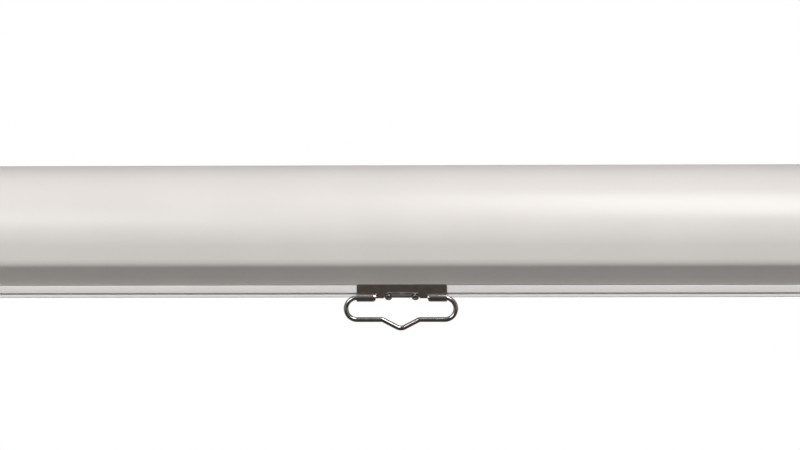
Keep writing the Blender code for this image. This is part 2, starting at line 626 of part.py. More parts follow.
def make_handle(slat_pivot, bail_pivot):
    """Pressed plate with curled lugs and a riveted pad, its rivets and the wire bail."""
    back = slat_front - GAP
    front = back - HANDLE_SHEET
    high = slat_top + HANDLE_RISE
    lug_z = slat_top - LUG_DROP
    bore = WIRE_RADIUS + GAP
    lug_y = back - bore - HANDLE_SHEET
    half = HANDLE_WIDTH / 2
    lug_in = half - LUG_LENGTH
    low = slat_bottom
    ledge, down, out = pad_frame()
    notch = PAD_HALF_WIDTH + GAP
    notch_z = ledge[1] - PAD_JOINT
    lug_joint = lug_z + bore
    reach = HANDLE_CORNER
    outline = (arc((half - reach, high - reach), reach, 0, 90, 3)
               + arc((reach - half, high - reach), reach, 90, 180, 3)
               + [(-half, lug_joint), (-lug_in, lug_joint), (-lug_in, low), (-notch, low),
                  (-notch, notch_z), (notch, notch_z), (notch, low), (lug_in, low),
                  (lug_in, lug_joint), (half, lug_joint)])
    shape = prism(outline, front, back)
    bmesh.ops.transform(shape, matrix=Matrix(((0, 1, 0, 0), (1, 0, 0, 0), (0, 0, 1, 0), (0, 0, 0, 1))),
                        verts=shape.verts)
    plate = piece("handle_bracket", shape, nickel, slat_pivot)

    axis = (lug_y, lug_z)
    curl = (arc(axis, bore + HANDLE_SHEET, 0, -LUG_CURL, 18)
            + arc(axis, bore, -LUG_CURL, 0, 18)
            + [(front, lug_joint + HANDLE_SHEET), (back, lug_joint + HANDLE_SHEET)])
    for tag, side in (("left", -1), ("right", 1)):
        lug = prism(curl, side * lug_in, side * half)
        boolean(plate, piece(f"lug_{tag}", lug, nickel, slat_pivot), "UNION")

    length = RIVET_ALONG + (slat_bottom - (ledge + down * RIVET_ALONG)[1]) / down[1]
    inner = ledge - out * HANDLE_SHEET
    rise = (ledge[1] - inner[1]) / down[1]
    band = [ledge, ledge + down * length, inner + down * length, inner + down * rise]
    pad = prism([tuple(p) for p in band], -PAD_HALF_WIDTH, PAD_HALF_WIDTH)
    boolean(plate, piece("pad", pad, nickel, slat_pivot), "UNION")
    for tag, x in (("left", -RIVET_SPACING / 2), ("right", RIVET_SPACING / 2)):
        ear = prism(circle((0, 0), EAR_RADIUS, 20), EAR_STEP - HANDLE_SHEET, -EAR_STEP)
        hole = prism(circle((0, 0), RIVET_RADIUS + GAP, 12), -RIVET_LENGTH, RIVET_LENGTH)
        for shape in (ear, hole):
            bmesh.ops.transform(shape, matrix=rivet_frame(x), verts=shape.verts)
        boolean(plate, piece(f"ear_{tag}", ear, nickel, slat_pivot), "UNION")
        boolean(plate, piece(f"ear_hole_{tag}", hole, nickel, slat_pivot), "DIFFERENCE")
        head = RIVET_HEAD_HEIGHT
        profile = [(-RIVET_LENGTH, RIVET_BORE), (-RIVET_LENGTH, RIVET_RADIUS), (GAP, RIVET_RADIUS),
                   (GAP, RIVET_HEAD_RADIUS), (GAP + head / 2, RIVET_HEAD_RADIUS),
                   (GAP + head, RIVET_HEAD_RADIUS - head / 2), (GAP + head, RIVET_RADIUS),
                   (GAP + head / 2, RIVET_BORE)]
        piece(f"handle_rivet_{tag}", turned(profile, rivet_frame(x), 16), nickel, slat_pivot, True)

    wide = BAIL_WIDTH / 2
    foot = lug_z - BAIL_HEIGHT
    loop = BAIL_HEIGHT / 2
    corners = [(lug_in + BAIL_END, lug_z, 0.0), (wide, lug_z, loop), (wide, foot, loop),
               (BAIL_V_HALF_WIDTH, foot, BAIL_BEND)]
    mirrored = [(-x, z, r) for x, z, r in reversed(corners)]
    route = corners + [(0.0, foot - BAIL_V_DEPTH, BAIL_V_BEND)] + mirrored
    wire = bpy.data.curves.new("bail_handle", "CURVE")
    wire.dimensions = "3D"
    wire.bevel_depth = WIRE_RADIUS
    wire.bevel_resolution = 3
    wire.use_fill_caps = True
    points = rounded(route)
    line = wire.splines.new("POLY")
    line.points.add(len(points) - 1)
    for point, (x, z) in zip(line.points, points):
        point.co = (x + BAIL_SHIFT, lug_y - bail_pivot.location.y, z - bail_pivot.location.z, 1.0)
    wire.materials.append(nickel)
    bail = bpy.data.objects.new("bail_handle", wire)
    bpy.context.scene.collection.objects.link(bail)
    bail.parent = bail_pivot


def rounded(route):
    """Points (x, z) along straight runs whose corners (x, z, radius) are rounded off."""
    points = [route[0][:2]]
    for before, here, after in zip(route, route[1:], route[2:]):
        corner = Vector(here[:2])
        to_before = (Vector(before[:2]) - corner).normalized()
        to_after = (Vector(after[:2]) - corner).normalized()
        half_turn = to_before.angle(to_after) / 2
        centre = corner + (to_before + to_after).normalized() * here[2] / math.sin(half_turn)
        start = corner + to_before * here[2] / math.tan(half_turn) - centre
        sweep = start.angle_signed(corner + to_after * here[2] / math.tan(half_turn) - centre)
        steps = max(3, round(abs(math.degrees(sweep)) / 11.25))
        for i in range(steps + 1):
            turned_by = Matrix.Rotation(-sweep * i / steps, 2)
            points.append(tuple(centre + turned_by @ start))
    return points + [route[-1][:2]]


roller_pivot = pivot("roller_axis", *roller)
slat_pivot = pivot("slat_axis", fabric_y, slat_top)
bail_pivot = pivot("bail_axis", slat_front - GAP - HANDLE_SHEET - WIRE_RADIUS - GAP, slat_top - LUG_DROP)
make_case()
tang_socket = prism(box_outline(TANG_WIDTH + 2 * GAP, TANG_THICK + 2 * GAP),
                     -boss_face - TANG_LENGTH - GAP, -ratchet_out)
bush_socket = rod(ratchet_out, boss_face + BUSH_LENGTH + GAP, roller,
                  PIN_RADIUS + GAP + BUSH_WALL + GAP)
make_end_cap(-1, "end_cap_left", tang_socket)
make_end_cap(1, "end_cap_right", bush_socket)
for end, side in (("left", -1), ("right", 1)):
    make_bracket(side, f"mount_bracket_{end}")
    make_screw(side, port_z, f"cap_screw_{end}_upper")
    make_screw(side, -port_z, f"cap_screw_{end}_lower")
make_roller(roller_pivot)
make_spring_side(roller_pivot)
make_idle_side(roller_pivot)
for end, head in (("upper", 90.0), ("lower", -90.0)):
    centre = polar(roller, PAWL_PIVOT_RADIUS, head)
    make_pawl(head, f"pawl_{end}", pivot(f"pawl_axis_{end}", *centre))
make_slat(slat_pivot)
make_handle(slat_pivot, bail_pivot)
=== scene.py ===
import json
import math

import bmesh
import bpy
from mathutils import Matrix, Vector
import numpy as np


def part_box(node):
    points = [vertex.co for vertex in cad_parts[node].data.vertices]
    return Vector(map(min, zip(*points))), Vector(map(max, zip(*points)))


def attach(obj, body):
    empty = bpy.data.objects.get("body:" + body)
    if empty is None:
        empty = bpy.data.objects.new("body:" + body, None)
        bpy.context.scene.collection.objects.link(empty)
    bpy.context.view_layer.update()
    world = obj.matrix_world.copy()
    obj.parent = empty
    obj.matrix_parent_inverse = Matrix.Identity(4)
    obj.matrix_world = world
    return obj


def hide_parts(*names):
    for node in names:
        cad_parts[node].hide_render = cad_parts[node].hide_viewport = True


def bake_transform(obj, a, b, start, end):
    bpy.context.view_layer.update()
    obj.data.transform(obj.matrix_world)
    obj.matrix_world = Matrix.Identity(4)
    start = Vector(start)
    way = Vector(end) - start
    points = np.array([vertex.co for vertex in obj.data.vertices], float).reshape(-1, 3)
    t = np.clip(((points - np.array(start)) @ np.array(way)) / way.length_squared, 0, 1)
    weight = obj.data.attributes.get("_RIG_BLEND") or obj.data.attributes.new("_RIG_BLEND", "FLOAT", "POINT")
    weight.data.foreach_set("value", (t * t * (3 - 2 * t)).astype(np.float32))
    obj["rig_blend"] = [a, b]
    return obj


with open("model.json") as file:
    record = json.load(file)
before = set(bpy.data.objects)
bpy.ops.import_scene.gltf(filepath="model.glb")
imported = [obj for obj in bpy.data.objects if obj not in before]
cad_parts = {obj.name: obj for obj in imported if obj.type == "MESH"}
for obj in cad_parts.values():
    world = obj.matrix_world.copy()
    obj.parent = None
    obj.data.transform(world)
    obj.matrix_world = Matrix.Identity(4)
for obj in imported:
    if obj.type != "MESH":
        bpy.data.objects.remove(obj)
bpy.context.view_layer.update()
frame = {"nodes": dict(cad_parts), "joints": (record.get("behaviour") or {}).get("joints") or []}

scene = bpy.context.scene
scene.view_settings.view_transform = "Standard"

# The camera is level with the case, a little to the right of its middle, and so far away that the
# handle's plate is 90.1 pixels wide. The plate's middle is 1.7 pixels right of the picture's middle.
frame_pixels, plate_pixels, plate_right = 800, 90.1, 1.7
lens, film, aim_height = 85.0, 36.0, -0.0005
camera_yaw, camera_roll = math.radians(1.2), math.radians(-0.11)
plate_low, plate_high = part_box("handle_bracket")
pixel = (plate_high.x - plate_low.x) / plate_pixels
aim = Vector((-plate_right * pixel, (plate_low.y + plate_high.y) / 2, aim_height))
outward = Vector((math.sin(camera_yaw), -math.cos(camera_yaw), 0.0))
camera = bpy.data.objects.new("camera", bpy.data.cameras.new("camera"))
camera.data.lens, camera.data.sensor_width = lens, film
facing = (-outward).to_track_quat("-Z", "Y").to_matrix() @ Matrix.Rotation(camera_roll, 3, "Z")
camera.matrix_world = (Matrix.Translation(aim + outward * pixel * frame_pixels * lens / film)
                       @ facing.to_4x4())
scene.collection.objects.link(camera)
scene.camera = camera


# The studio: a round floor below the pulled-down screen and a surround, both white to the camera and
# dim in reflections but for paler parts. Two large soft lamps in front light the case, one higher at
# the right, one lower at the left.
def as_object(shape, name):
    """A Blender object with a shape as its mesh."""
    mesh = bpy.data.meshes.new(name)
    shape.to_mesh(mesh)
    shape.free()
    made = bpy.data.objects.new(name, mesh)
    scene.collection.objects.link(made)
    return made


def add(tree, kind, inputs=None, **settings):
    """Add a shader node, set its properties, link or set its inputs, and give its outputs."""
    node = tree.nodes.new("ShaderNode" + kind)
    for name, value in settings.items():
        setattr(node, name, value)
    for key, value in (inputs or {}).items():
        if isinstance(value, bpy.types.NodeSocket):
            tree.links.new(value, node.inputs[key])
        else:
            node.inputs[key].default_value = value
    return node.outputs


def ramp(tree, value, low, high, start=0.0, end=1.0):
    """A smooth step from start to end as value goes from low to high."""
    inputs = {"Value": value, "From Min": low, "From Max": high, "To Min": start, "To Max": end}
    return add(tree, "MapRange", inputs, interpolation_type="SMOOTHSTEP")[0]


def maths(tree, operation, first, second=0.0, third=0.0):
    """One arithmetic step between numbers or sockets."""
    return add(tree, "Math", {0: first, 1: second, 2: third}, operation=operation)[0]


def soft_lamp(name, place, size, watts):
    """A large rectangular lamp that faces the case."""
    data = bpy.data.lights.new(name, "AREA")
    data.shape = "RECTANGLE"
    data.size, data.size_y = size
    data.energy = watts
    lamp = bpy.data.objects.new(name, data)
    lamp.location = place
    lamp.rotation_euler = (case_middle - Vector(place)).to_track_quat("-Z", "Y").to_euler()
    scene.collection.objects.link(lamp)


floor_drop, floor_radius, floor_sides = 1.6, 11.0, 96
floor_shape = bmesh.new()
bmesh.ops.create_circle(floor_shape, cap_ends=True, segments=floor_sides, radius=floor_radius,
                        matrix=Matrix.Translation((0, 0, -floor_drop)))
floor = as_object(floor_shape, "floor")

floor_pale, floor_glow = (0.78, 0.78, 0.77, 1.0), 0.55
floor_dim, glint, far_glint = (0.02, 0.02, 0.019, 1.0), 0.045, 0.62
glint_start, glint_end = 0.5, 1.7
fade_start, fade_end = 0.25 * floor_radius, 0.9 * floor_radius
paper = bpy.data.materials.new("floor_paper")
paper.use_nodes = True
tree = paper.node_tree
tree.nodes.clear()
ray = add(tree, "LightPath")
where = add(tree, "TexCoord")["Object"]
away = add(tree, "VectorMath", {0: where}, operation="LENGTH")["Value"]
behind = ramp(tree, add(tree, "SeparateXYZ", {0: where})["Y"], glint_start, glint_end, end=far_glint)
pale = add(tree, "BsdfDiffuse", {"Color": floor_pale})[0]
glow = add(tree, "Emission", {"Strength": floor_glow})[0]
near = add(tree, "AddShader", {0: pale, 1: glow})[0]
far = add(tree, "Emission")[0]
seen = add(tree, "MixShader", {0: ramp(tree, away, fade_start, fade_end), 1: near, 2: far})[0]
dim = add(tree, "BsdfDiffuse", {"Color": floor_dim})[0]
sheen = maths(tree, "MULTIPLY_ADD", ray["Is Glossy Ray"], glint, behind)
fill = add(tree, "Emission", {"Strength": sheen})[0]
mirrored = add(tree, "AddShader", {0: dim, 1: fill})[0]
lit = add(tree, "MixShader", {0: ray["Is Camera Ray"], 1: mirrored, 2: seen})[0]
clear = add(tree, "BsdfTransparent")[0]
both = add(tree, "MixShader", {0: add(tree, "NewGeometry")["Backfacing"], 1: lit, 2: clear})[0]
add(tree, "OutputMaterial", {"Surface": both})
floor.data.materials.append(paper)

front_tilt = math.radians(14)
white, dark_wall = (1.0, 1.0, 1.0, 1.0), (0.075, 0.062, 0.055, 1.0)
world = bpy.data.worlds.new("studio")
world.use_nodes = True
scene.world = world
tree = world.node_tree
tree.nodes.clear()
ray = add(tree, "LightPath")
way = add(tree, "TexCoord")["Generated"]
sideways, depth, height = add(tree, "SeparateXYZ", {0: way})
front = Vector((0.0, -math.cos(front_tilt), math.sin(front_tilt)))
toward = add(tree, "VectorMath", {0: way, 1: front}, operation="DOT_PRODUCT")["Value"]
front_glow = ramp(tree, toward, 0.45, 1.0, end=2.0)
back_glow = ramp(tree, depth, 0.4, 1.0, end=1.3)
glow = maths(tree, "ADD", front_glow, back_glow)
ambient = add(tree, "Background", {"Color": white, "Strength": glow})[0]
upper = ramp(tree, height, 0.0, 0.7, end=0.08)
overhead = ramp(tree, height, 0.75, 1.0, end=0.45)
beside = ramp(tree, maths(tree, "ABSOLUTE", sideways), 0.2, 0.8, end=0.2)
beyond = ramp(tree, depth, 0.6, 0.97, end=0.4)
paler = maths(tree, "MAXIMUM", beyond, maths(tree, "ADD", maths(tree, "ADD", upper, overhead), beside))
whiter = maths(tree, "MAXIMUM", paler, ray["Is Camera Ray"])
walls = add(tree, "Mix", {"Factor": whiter, "A": dark_wall, "B": white}, data_type="RGBA")[2]
surround = add(tree, "Background", {"Color": walls})[0]
shiny = maths(tree, "MAXIMUM", ray["Is Camera Ray"], ray["Is Glossy Ray"])
shown = maths(tree, "MAXIMUM", shiny, ray["Is Transmission Ray"])
both = add(tree, "MixShader", {0: shown, 1: ambient, 2: surround})[0]
add(tree, "OutputWorld", {"Surface": both})

case_middle = Vector((0.0, -0.06, 0.0))
soft_lamp("lamp_right", place=(0.50, -1.45, 1.60), size=(0.60, 1.4), watts=21.5)
soft_lamp("lamp_left", place=(-1.00, -1.90, 0.90), size=(1.0, 0.7), watts=10.0)


# Case: a hollow aluminium extrusion with a round front, a 45 degree facet below it and an open slot
# in its floor. It is sprayed satin warm grey and cut to length; two screw ports run along its back.
UP, ACROSS, ALONG = Vector((0, 0, 1)), Vector((0, 1, 0)), Vector((1, 0, 0))
face_along = Matrix.Rotation(math.pi / 2, 4, "Y")


def merge(shape, dist=1e-6):
    """Join the points of a shape that touch."""
    bmesh.ops.remove_doubles(shape, verts=shape.verts, dist=dist)


def move(shape, way):
    """Shift a whole shape."""
    bmesh.ops.translate(shape, verts=shape.verts, vec=way)


def draw(shape, tip, here, moves, across=ACROSS, up=UP, fineness=5.0):
    """Sweep tip in a plane by straight runs to a point (a, b) and turns (a, b, degrees) about one."""
    here = Vector(here)
    for a, b, *turn in moves:
        point, centre, axis = Vector((a, b)), across * a + up * b, across.cross(up)
        if turn:
            angle = math.radians(turn[0])
            swept = bmesh.ops.spin(shape, geom=tip, cent=centre, axis=axis, angle=angle,
                                   steps=math.ceil(abs(turn[0]) / fineness))
            here = point + Matrix.Rotation(angle, 2) @ (here - point)
        else:
            run = point - here
            swept = bmesh.ops.spin(shape, geom=tip, cent=centre, axis=axis, angle=0.0,
                                   dvec=across * run.x + up * run.y, steps=1)
            here = point
        tip = swept["geom_last"]


def outline(start, moves, across=ACROSS, up=UP, fineness=5.0):
    """A closed line in a plane through the origin, ready to fill."""
    shape = bmesh.new()
    first = shape.verts.new(across * start[0] + up * start[1])
    draw(shape, [first], start, [*moves, start], across, up, fineness)
    merge(shape)
    return shape


def pull(shape, grown, reach):
    """Move the points that an extrusion has made."""
    far = [v for v in grown["geom"] if isinstance(v, bmesh.types.BMVert)]
    bmesh.ops.translate(shape, verts=far, vec=reach)


def raised(shape, start, reach, holes=(), radius=0.0):
    """Fill an outline round its holes and draw it out by reach, from start."""
    for y, z in holes:
        bmesh.ops.create_circle(shape, segments=24, radius=radius,
                                matrix=Matrix.Translation((0, y, z)) @ face_along)
    if holes:
        bmesh.ops.triangle_fill(shape, edges=shape.edges, use_beauty=True)
    else:
        bmesh.ops.contextual_create(shape, geom=shape.edges)
    move(shape, start)
    pull(shape, bmesh.ops.extrude_face_region(shape, geom=shape.faces[:]), reach)
    bmesh.ops.recalc_face_normals(shape, faces=shape.faces)
    return shape


def softened(shape, width, where=None, segments=3, over=30.0):
    """Round off the sharp edges of a shape, or those of them that where picks."""
    edges = [e for e in shape.edges if len(e.link_faces) == 2
             and e.calc_face_angle(0) > math.radians(over) and (where is None or where(e))]
    bmesh.ops.bevel(shape, geom=edges, offset=width, offset_type="OFFSET", affect="EDGES",
                    segments=segments, profile=0.5, material=-1, clamp_overlap=True)
    return shape


def add_piece(shape, name, finish, body, node):
    """Make a shape a smooth-shaded piece in a finish, which rides on a body and replaces a CAD node."""
    material, slot = finish
    bmesh.ops.recalc_face_normals(shape, faces=shape.faces)
    made = as_object(shape, name)
    made.data.materials.append(material)
    made.data.shade_smooth()
    made.data.set_sharp_from_angle(angle=math.radians(30))
    made.modifiers.new("flat faces", "WEIGHTED_NORMAL").keep_sharp = True
    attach(made, body)
    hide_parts(node)


def start_skin(name, inputs):
    """A finish's node group with inputs beside place and colour, and its inputs' sockets."""
    tree = bpy.data.node_groups.new(name, "ShaderNodeTree")
    kinds = {1: "NodeSocketFloat", 3: "NodeSocketVector", 4: "NodeSocketColor"}
    for label, value in {"Place": (0.0, 0.0, 0.0), "Colour": (0.6, 0.6, 0.6, 1.0), **inputs}.items():
        size = len(value) if isinstance(value, tuple) else 1
        tree.interface.new_socket(label, in_out="INPUT", socket_type=kinds[size]).default_value = value
    for label, size in (("Colour", 4), ("Roughness", 1), ("Height", 1)):
        tree.interface.new_socket(label, in_out="OUTPUT", socket_type=kinds[size])
    return tree, tree.nodes.new("NodeGroupInput").outputs


def grain(tree, given, scale, stretch=(1.0, 1.0, 1.0), detail=2.0):
    """Soft noise from 0 to 1 with scale lumps per metre, finer along an axis that is stretched."""
    where = add(tree, "Mapping", {"Vector": given["Place"], "Scale": stretch})[0]
    noise = add(tree, "TexNoise", {"Vector": where, "Scale": scale, "Detail": detail})[0]
    return ramp(tree, noise, 0.25, 0.75)


def end_skin(tree, colour, roughness, height, mask, low, high):
    """Put out roughness, height, and a colour whose brightness runs from low to high with a mask."""
    value = ramp(tree, mask, 0.0, 1.0, low, high)
    shade = add(tree, "HueSaturation", {"Color": colour, "Value": value})[0]
    inputs = tree.nodes.new("NodeGroupOutput").inputs
    for label, socket in (("Colour", shade), ("Roughness", roughness), ("Height", height)):
        tree.links.new(socket, inputs[label])
    return tree


def finish(name, slot, skin, relief, place="Object", **values):
    """A material and its slot. A value is for the node group's input of that name, or for the shader's."""
    made = bpy.data.materials.new(name)
    made.use_nodes = True
    tree = made.node_tree
    shader = tree.nodes["Principled BSDF"]
    look = tree.nodes.new("ShaderNodeGroup")
    look.node_tree = skin
    tree.links.new(add(tree, "TexCoord")[place], look.inputs["Place"])
    for label, value in values.items():
        label = label.replace("_", " ")
        (look if label in look.inputs else shader).inputs[label].default_value = value
    bumps = add(tree, "Bump", {"Distance": relief, "Height": look.outputs["Height"]})
    tree.links.new(look.outputs["Colour"], shader.inputs["Base Color"])
    tree.links.new(look.outputs["Roughness"], shader.inputs["Roughness"])
    tree.links.new(bumps[0], shader.inputs["Normal"])
    return made, slot


tree, given = start_skin("sprayed_skin", {"Roughness": 0.32, "Die Lines": 0.5})
peel = grain(tree, given, 620.0, detail=1.0)
lines = grain(tree, given, 1.0, stretch=(3.0, 1500.0, 1500.0), detail=3.0)
haze = grain(tree, given, 14.0, detail=4.0)
rough = maths(tree, "ADD", given["Roughness"], ramp(tree, haze, 0.0, 1.0, -0.02, 0.03))
lumps = maths(tree, "ADD", peel, maths(tree, "MULTIPLY", lines, given["Die Lines"]))
sprayed_skin = end_skin(tree, given["Colour"], rough, lumps, haze, low=0.985, high=1.012)
sprayed_grey = finish("sprayed_grey", "case_paint", sprayed_skin, 0.000004,
                      Colour=(0.62, 0.59, 0.56, 1.0), Roughness=0.32)

case_low, case_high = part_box("case_housing")
slat_low, slat_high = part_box("slat")
screen_y = (slat_low.y + slat_high.y) / 2
top, bottom = case_high.z, case_low.z
wall, lip_rise, slot_width, case_round = 0.0012, 0.0055, 0.0088, 0.00025
facet_rise, bend_radius, panel_rise, lean, corner = 0.0112, 0.01275, 0.008, 10.0, 0.008
easy_radius, tight_radius, easy_lean, tight_start = 0.016, 0.008, 21.0, 0.00088
port_inset, port_radius, screw_hole = 0.005, 0.0034, 0.0016
slot_front, slot_back = screen_y - slot_width / 2, screen_y + slot_width / 2
lip_front, lip_top = slot_front - wall, bottom + lip_rise
facet_end = Vector((lip_front - facet_rise, bottom + facet_rise))
diagonal = math.sqrt(0.5)
bend = facet_end + Vector((diagonal, diagonal)) * bend_radius
tilt = math.radians(lean)
panel_way = Vector((math.cos(tilt), math.sin(tilt)))
panel_start = bend - panel_way * bend_radius
panel_end = panel_start + Vector((-math.tan(tilt), 1.0)) * panel_rise
front_radius = (top - panel_end.y) / (1.0 + math.sin(tilt))
round_front = panel_end + panel_way * front_radius
port_z = top - port_inset
ports = [(-port_inset, port_z), (-port_inset, -port_z)]
tight_end = facet_end + Vector((-tight_start, tight_start))
tight_bend = tight_end + Vector((diagonal, diagonal)) * tight_radius
easy_way = Vector((math.cos(math.radians(easy_lean)), math.sin(math.radians(easy_lean))))
easy_bend = tight_bend + easy_way * (easy_radius - tight_radius)
front_moves = [tight_end, (*tight_bend, easy_lean - 45.0), (*easy_bend, lean - easy_lean),
               panel_end, (*round_front, -90.0 - lean)]
back_moves = [(-corner, top), (-corner, top - corner, -90.0),
              (0.0, bottom + corner), (-corner, bottom + corner, -90.0), (slot_back, bottom)]


def lining(inset, port):
    """The inside of the case, set in by inset, from its floor round the back and over to the facet."""
    side = -port_inset - port
    panel = bend - panel_way * (bend_radius - inset)
    return [(side, bottom + inset), (side, -port_z), (-port_inset, -port_z, -90.0),
            (-inset, port - port_z), (-inset, port_z - port), (-port_inset, port_z - port),
            (-port_inset, port_z, -90.0), (side, top - inset), (round_front.x, top - inset),
            (*round_front, 90.0 + lean), panel, (*bend, 45.0 - lean)]


slot_moves = [(slot_back, lip_top), (slot_back + wall, lip_top), (slot_back + wall, bottom + wall)]
lip_moves = [(lip_front, bottom + wall / diagonal), (lip_front, lip_top), (slot_front, lip_top),
             (slot_front, bottom)]
section = outline((lip_front, bottom), front_moves + back_moves + slot_moves
                  + lining(wall, port_radius) + lip_moves, fineness=2.0)
case_length = case_high.x - case_low.x
shell = raised(section, ALONG * case_low.x, ALONG * case_length, ports, screw_hole)
softened(shell, case_round, lambda e: e.calc_length() > 0.9 * case_length)
add_piece(shell, "case_shell", sprayed_grey, "case", "case_housing")


# End caps: moulded grey plastic. The plate covers the case's end and a spigot plugs into it. A boss
# carries the roller, with a flat socket for the spring's shaft at the left and a round one at the right.
def turned(start, moves, y=0.0, z=0.0, steps=48):
    """Draw a line of (along X, radius) and spin it about the X-wise axis at (y, z)."""
    shape = bmesh.new()
    first = shape.verts.new(ALONG * start[0] + UP * start[1])
    draw(shape, [first], start, moves, ALONG, UP, fineness=15.0)
    merge(shape)
    bmesh.ops.spin(shape, geom=shape.verts[:] + shape.edges[:], cent=(0, 0, 0), axis=ALONG,
                   angle=math.tau, steps=steps, use_merge=True)
    merge(shape)
    bmesh.ops.dissolve_degenerate(shape, edges=shape.edges, dist=1e-6)
    move(shape, (0.0, y, z))
    return shape


def joined(*shapes):
    """Several closed shapes in one."""
    whole = bmesh.new()
    for shape in shapes:
        part = bpy.data.meshes.new("part")
        shape.to_mesh(part)
        shape.free()
        whole.from_mesh(part)
        bpy.data.meshes.remove(part)
    return whole


def clean(shape, dist=1e-6):
    """Join the points of a shape that touch, and the triangles of each flat face."""
    merge(shape, dist)
    bmesh.ops.dissolve_limit(shape, angle_limit=math.radians(1.0), verts=shape.verts, edges=shape.edges)
    return shape


def cut(shape, *tools, sheet=0.0):
    """Cut tool shapes out of a shape, which is first given a sheet's thickness where it has none."""
    made = []
    for part in (shape, *tools):
        bmesh.ops.recalc_face_normals(part, faces=part.faces)
        made.append(as_object(part, "cutting"))
    if sheet:
        thicken = made[0].modifiers.new("sheet", "SOLIDIFY")
        thicken.thickness, thicken.offset, thicken.use_even_offset = sheet, 0.0, True
    for tool in made[1:]:
        step = made[0].modifiers.new("cut", "BOOLEAN")
        step.operation, step.solver, step.object = "DIFFERENCE", "EXACT", tool
    bpy.context.view_layer.update()
    seen = made[0].evaluated_get(bpy.context.evaluated_depsgraph_get())
    result = bmesh.new()
    result.from_mesh(seen.to_mesh())
    seen.to_mesh_clear()
    for temporary in made:
        bpy.data.meshes.remove(temporary.data)
    return clean(result)


def box(low, high):
    """A plain block between two corners."""
    shape = bmesh.new()
    size = Vector(high) - Vector(low)
    middle = (Vector(high) + Vector(low)) / 2
    bmesh.ops.create_cube(shape, size=1.0,
                          matrix=Matrix.Translation(middle) @ Matrix.Diagonal((*size, 1.0)))
    return shape


tree, given = start_skin("moulded_skin", {"Roughness": 0.45, "Pebble": 900.0})
cells = add(tree, "TexVoronoi", {"Vector": given["Place"], "Scale": given["Pebble"]}, feature="SMOOTH_F1")
pebbles = ramp(tree, cells["Distance"], 0.0, 0.8, 1.0, 0.0)
flow = grain(tree, given, 30.0, detail=3.0)
rough = maths(tree, "ADD", given["Roughness"], ramp(tree, pebbles, 0.0, 1.0, 0.04, -0.04))
moulded_skin = end_skin(tree, given["Colour"], rough, pebbles, flow, low=0.96, high=1.03)
moulded_grey = finish("moulded_grey", "cap_plastic", moulded_skin, 0.00002,
                      Colour=(0.57, 0.545, 0.515, 1.0), Roughness=0.42)

ENDS = ((-1, "left"), (1, "right"))
gap, hair = 0.0003, 1e-5
cap_thick, spigot_depth, boss_radius = 0.003, 0.005, 0.011
cap_round, spigot_round, boss_round, port_clear = 0.0009, 0.0003, 0.0004, 0.003
bush_length, bush_wall, pin_radius = 0.009, 0.0022, 0.004
tang_width, tang_thick, tang_length, tang_root = 0.006, 0.003, 0.009, 0.001
roll_low, roll_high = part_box("roller_tube")
axle = axle_y, axle_z = (roll_low.y + roll_high.y) / 2, (roll_low.z + roll_high.z) / 2
case_half, cap_out = case_high.x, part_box("end_cap_right")[1].x
boss_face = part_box("idle_bush")[0].x
plate_in, plate_root = case_half + gap, case_half + gap + cap_thick / 2
spigot_inset, spigot_end = wall + gap, case_half - spigot_depth
spigot_lip = lip_front - gap
spigot_start = (slot_back + wall + gap, bottom + spigot_inset)
spigot_moves = [(spigot_lip, bottom + spigot_inset / diagonal + gap), (spigot_lip, lip_top + gap),
                (spigot_start[0], lip_top + gap)]
boss_outside = [(boss_face, boss_radius), (plate_root, boss_radius), (plate_root, 0.0)]
bush_hole = pin_radius + bush_wall + 2 * gap
bush_floor = boss_face + bush_length + gap
for side, end in ENDS:
    out = ALONG * side
    plate = raised(outline((lip_front, bottom), front_moves + back_moves, fineness=3.0),
                   out * plate_in, out * (cap_out - plate_in), ports, screw_hole)
    softened(plate, cap_round, lambda e: min(abs(v.co.x) for v in e.verts) > cap_out - hair and not any(
        (v.co.yz - Vector(port)).length < port_clear for v in e.verts for port in ports), segments=4)
    spigot = raised(outline(spigot_start, lining(spigot_inset, port_radius + gap) + spigot_moves),
                    out * spigot_end, out * (plate_root - case_half + spigot_depth))
    softened(spigot, spigot_round, lambda e: max(abs(v.co.x) for v in e.verts) < spigot_end + hair)
    if side < 0:
        boss = turned((boss_face, 0.0), boss_outside, *axle)
        bmesh.ops.scale(boss, verts=boss.verts, vec=(-1.0, 1.0, 1.0))
        half_wide, half_thick = tang_width / 2 + gap, tang_thick / 2 + gap
        boss = cut(boss, box((-boss_face - tang_length - gap, axle_y - half_wide, axle_z - half_thick),
                             (tang_root - boss_face, axle_y + half_wide, axle_z + half_thick)))
    else:
        boss = turned((bush_floor, 0.0), [(bush_floor, bush_hole), (boss_face, bush_hole)]
                      + boss_outside, *axle)
    softened(boss, boss_round, lambda e: max(abs(v.co.x) for v in e.verts) < boss_face + hair)
    add_piece(joined(plate, spigot, boss), f"end_cap_{end}_moulding", moulded_grey, "case",
              f"end_cap_{end}")


# Mount brackets: 2 mm steel, pressed with a flange for a wall and one for a ceiling, folded round and
# sprayed like the case. Each flange has a slot for a screw, and two cap screws go through the web.
def rod(x0, x1, radius, y=0.0, z=0.0, steps=24):
    """A plain round rod along X."""
    return turned((x0, 0.0), [(x0, radius), (x1, radius), (x1, 0.0)], y, z, steps)


